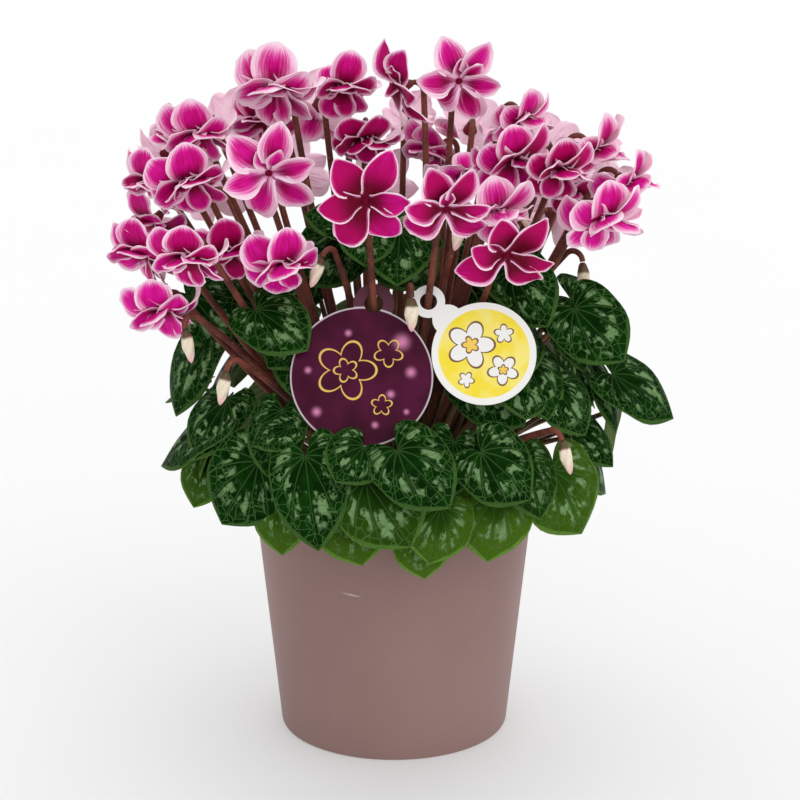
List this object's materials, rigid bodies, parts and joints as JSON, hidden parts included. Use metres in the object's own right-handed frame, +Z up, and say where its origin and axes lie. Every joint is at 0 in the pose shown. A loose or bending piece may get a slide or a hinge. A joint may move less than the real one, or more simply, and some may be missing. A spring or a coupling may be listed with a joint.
{
  "type": "potted flowering plant",
  "caption": "Potted double-flowered cyclamen: a dome of frilled pink blooms and marbled heart-shaped leaves over a plain tapered pot, with hang-tags on the stems.",
  "frame": {"origin": "centre of the pot's underside", "axes": "+Z up; the side with the hang-tags faces -Y"},
  "size_m": [0.2481, 0.2087, 0.3371],
  "materials": {
    "pot": "matte",
    "soil": "rough",
    "corm": "rough",
    "petals": "satin",
    "buds": "satin",
    "stems": "satin",
    "leaves": "satin",
    "plum_card": "gloss",
    "yellow_card": "gloss"
  },
  "bodies": {
    "root": {"pot": "pot", "soil": "soil", "corm": "corm", "bloom_01": "petals", "bloom_02": "petals", "bloom_03": "petals", "bloom_04": "petals", "bloom_05": "petals", "bloom_06": "petals", "bloom_07": "petals", "bloom_08": "petals", "bloom_09": "petals", "bloom_10": "petals", "bloom_11": "petals", "bloom_12": "petals", "bloom_13": "petals", "bloom_14": "petals", "bloom_15": "petals", "bloom_16": "petals", "bloom_17": "petals", "bloom_18": "petals", "bloom_19": "petals", "bloom_20": "petals", "bloom_21": "petals", "bloom_22": "petals", "bloom_23": "petals", "bloom_24": "petals", "bloom_25": "petals", "bloom_26": "petals", "bloom_27": "petals", "bloom_28": "petals", "bloom_29": "petals", "bloom_30": "petals", "bloom_31": "petals", "bloom_32": "petals", "bloom_33": "petals", "bloom_34": "petals", "bloom_35": "petals", "bloom_36": "petals", "bloom_37": "petals", "bloom_38": "petals", "bloom_39": "petals", "bloom_40": "petals", "bloom_41": "petals", "bloom_42": "petals", "bud_01": "buds", "bud_02": "buds", "bud_03": "buds", "bud_04": "buds", "bud_05": "buds", "bud_06": "buds", "bud_07": "buds", "bud_08": "buds", "bud_09": "buds", "bud_10": "buds", "flower_stems": "stems", "leaves": "leaves", "plum_tag": "plum_card", "yellow_tag": "yellow_card"}
  },
  "joints": []
}
